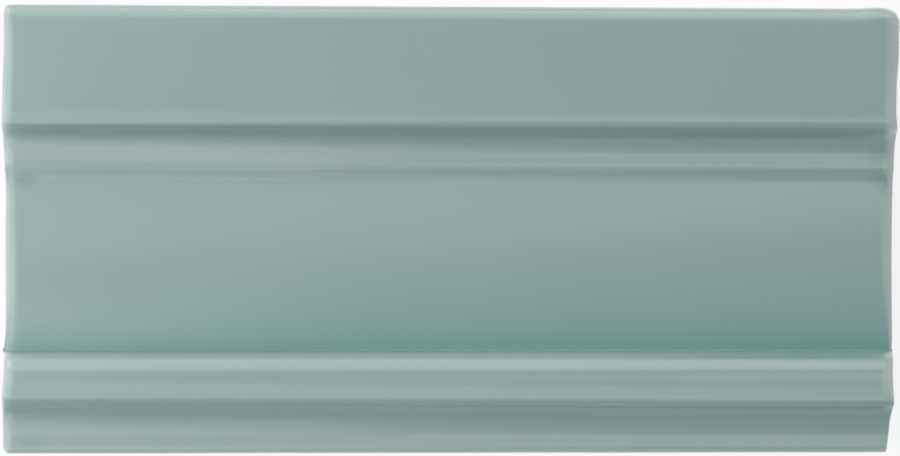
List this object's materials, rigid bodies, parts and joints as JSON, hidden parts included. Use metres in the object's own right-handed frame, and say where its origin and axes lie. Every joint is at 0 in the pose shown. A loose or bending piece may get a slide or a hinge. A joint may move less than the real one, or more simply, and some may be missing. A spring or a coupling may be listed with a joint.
{
  "type": "cornice trim tile",
  "caption": "Oblong glazed ceramic cornice trim tile with a thick flat fascia, a stepped cove and a bead above a hollow lip, for capping wall tiling.",
  "frame": {"origin": "centre of the back face", "axes": "+X along the moulding, +Y up the wall towards the fascia edge, +Z out of the wall through the glazed face"},
  "size_m": [0.15, 0.075, 0.02],
  "materials": {
    "sea_green_glaze": "glossy translucent sea green glaze over an off-white fired body, bare on the back"
  },
  "bodies": {
    "root": {"cornice_tile": "sea_green_glaze"}
  },
  "joints": []
}
